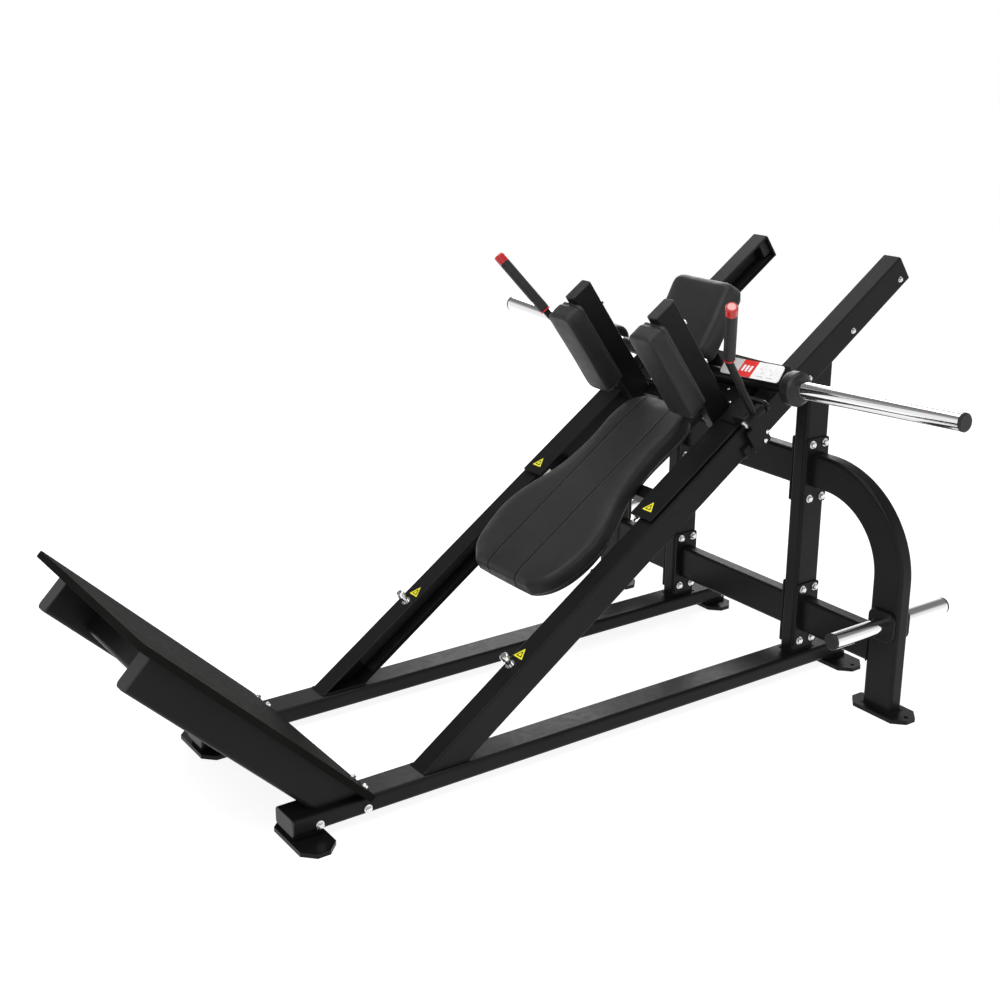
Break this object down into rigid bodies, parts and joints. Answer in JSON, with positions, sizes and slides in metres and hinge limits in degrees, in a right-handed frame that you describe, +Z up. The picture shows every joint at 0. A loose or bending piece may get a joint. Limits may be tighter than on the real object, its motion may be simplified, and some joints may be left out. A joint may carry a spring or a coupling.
{
  "type": "hack squat machine",
  "caption": "Plate-loaded hack squat machine: a padded carriage rolls on inclined rails above a tilted footplate, with safety levers, weight sleeves and storage horns.",
  "frame": {"origin": "on the floor under the middle of the bounding box", "axes": "+X to the rear, up the rails' run; +Z up; the user's left side is -Y"},
  "size_m": [2.5163, 1.9384, 1.271],
  "materials": {
    "frame_coat": "satin black powder coat",
    "footplate_coat": "fine textured dark powder coat",
    "chrome": "polished",
    "steel": "ground",
    "zinc": "zinc plated",
    "rubber": "matt",
    "plastic": "fine grained",
    "vinyl": "soft grained black leatherette",
    "board": "black painted plywood",
    "nylon": "hard black nylon",
    "red_plastic": "moulded red",
    "placard": "plain printed sheet"
  },
  "bodies": {
    "frame": {"base_rail_left": "frame_coat", "base_rail_right": "frame_coat", "cross_tubes": "frame_coat", "feet": "frame_coat", "flange_plates": "frame_coat", "footplate": "footplate_coat", "footplate_bolts": "chrome", "footplate_support_left": "frame_coat", "footplate_support_right": "frame_coat", "footplate_tie_tube": "frame_coat", "frame_bolts": "chrome", "frame_end_caps": "plastic", "guide_rail_left": "frame_coat", "guide_rail_right": "frame_coat", "guide_tracks": "frame_coat", "lower_stop_posts": "zinc", "outrigger_left": "frame_coat", "outrigger_right": "frame_coat", "parking_lugs": "frame_coat", "rail_end_plates": "frame_coat", "storage_horns": "chrome", "top_bump_stops": "rubber", "upright_left": "frame_coat", "upright_right": "frame_coat"},
    "carriage": {"axles_and_pins": "steel", "back_pad": "vinyl", "carriage_bolts": "chrome", "carriage_side_left": "frame_coat", "carriage_side_right": "frame_coat", "deck_plate": "frame_coat", "head_pad": "vinyl", "head_pad_post": "frame_coat", "lever_brackets": "frame_coat", "pad_boards": "board", "pad_frame": "frame_coat", "placard_face": "placard", "placard_plate": "frame_coat", "rear_cross_plate": "frame_coat", "roller_bearings": "steel", "shoulder_arm_caps": "plastic", "shoulder_arm_left": "frame_coat", "shoulder_arm_right": "frame_coat", "shoulder_pad_left": "vinyl", "shoulder_pad_right": "vinyl", "sleeve_beam": "frame_coat", "sleeve_collars": "frame_coat", "sleeve_end_caps": "plastic", "striker_plates": "zinc", "weight_sleeve_left": "chrome", "weight_sleeve_right": "chrome"},
    "lower_roller_left": {"lower_roller_left": "nylon"},
    "lower_roller_right": {"lower_roller_right": "nylon"},
    "upper_roller_left": {"upper_roller_left": "nylon"},
    "upper_roller_right": {"upper_roller_right": "nylon"},
    "lever_left": {"grip_trim_left": "red_plastic", "lever_grip_left": "rubber", "safety_lever_left": "frame_coat"},
    "lever_right": {"grip_trim_right": "red_plastic", "lever_grip_right": "rubber", "safety_lever_right": "frame_coat"}
  },
  "joints": [
    {"name": "carriage_slide", "type": "slide", "parent": "frame", "child": "carriage", "axis": [0.8166, 0, 0.5771], "range_m": [-0.53, 0.67]},
    {"name": "lower_roller_left_spin", "type": "hinge", "parent": "carriage", "child": "lower_roller_left", "pos_m": [0.34356, -0.276, 0.6097], "axis": [0, 1, 0], "continuous": true},
    {"name": "lower_roller_right_spin", "type": "hinge", "parent": "carriage", "child": "lower_roller_right", "pos_m": [0.34356, 0.276, 0.6097], "axis": [0, 1, 0], "continuous": true},
    {"name": "upper_roller_left_spin", "type": "hinge", "parent": "carriage", "child": "upper_roller_left", "pos_m": [0.62531, -0.276, 0.80881], "axis": [0, 1, 0], "continuous": true},
    {"name": "upper_roller_right_spin", "type": "hinge", "parent": "carriage", "child": "upper_roller_right", "pos_m": [0.62531, 0.276, 0.80881], "axis": [0, 1, 0], "continuous": true},
    {"name": "safety_lever_left_turn", "type": "hinge", "parent": "carriage", "child": "lever_left", "pos_m": [0.61441, -0.33, 0.87967], "axis": [-0.8166, 0, -0.5771], "range_deg": [-2, 25]},
    {"name": "safety_lever_right_turn", "type": "hinge", "parent": "carriage", "child": "lever_right", "pos_m": [0.61441, 0.33, 0.87967], "axis": [0.8166, 0, 0.5771], "range_deg": [-2, 25]}
  ],
  "couplings": [
    {"joint": "lower_roller_left_spin", "follows": "carriage_slide", "rad_per_m": 28.986},
    {"joint": "lower_roller_right_spin", "follows": "carriage_slide", "rad_per_m": 28.986},
    {"joint": "upper_roller_left_spin", "follows": "carriage_slide", "rad_per_m": 28.986},
    {"joint": "upper_roller_right_spin", "follows": "carriage_slide", "rad_per_m": 28.986}
  ]
}
